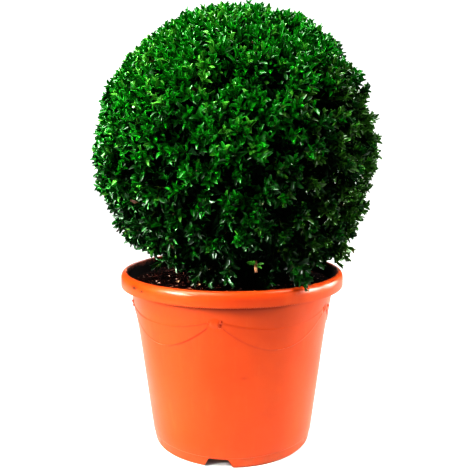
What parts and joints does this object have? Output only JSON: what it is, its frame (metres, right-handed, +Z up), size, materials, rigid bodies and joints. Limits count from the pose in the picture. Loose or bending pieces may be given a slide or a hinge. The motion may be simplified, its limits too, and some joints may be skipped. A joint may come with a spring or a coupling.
{
  "type": "box topiary ball",
  "caption": "Dense clipped ball of box foliage on a short stem, in a round plastic patio pot with a rolled rim, swags in relief and a notched foot.",
  "frame": {"origin": "on the ground, on the pot's axis, under the middle of the plant", "axes": "+Z up along the pot's axis, -Y towards the viewer of the front, +X to that viewer's right"},
  "size_m": [0.4078, 0.3988, 0.6103],
  "materials": {
    "pot_plastic": "satin moulded plastic, terracotta orange",
    "compost": "moist, crumbly",
    "bark": "rough, finely ridged",
    "foliage": "leathery evergreen leaves"
  },
  "bodies": {
    "root": {"pot": "pot_plastic", "compost": "compost", "main_stem": "bark", "foliage_ball": "foliage"}
  },
  "joints": []
}
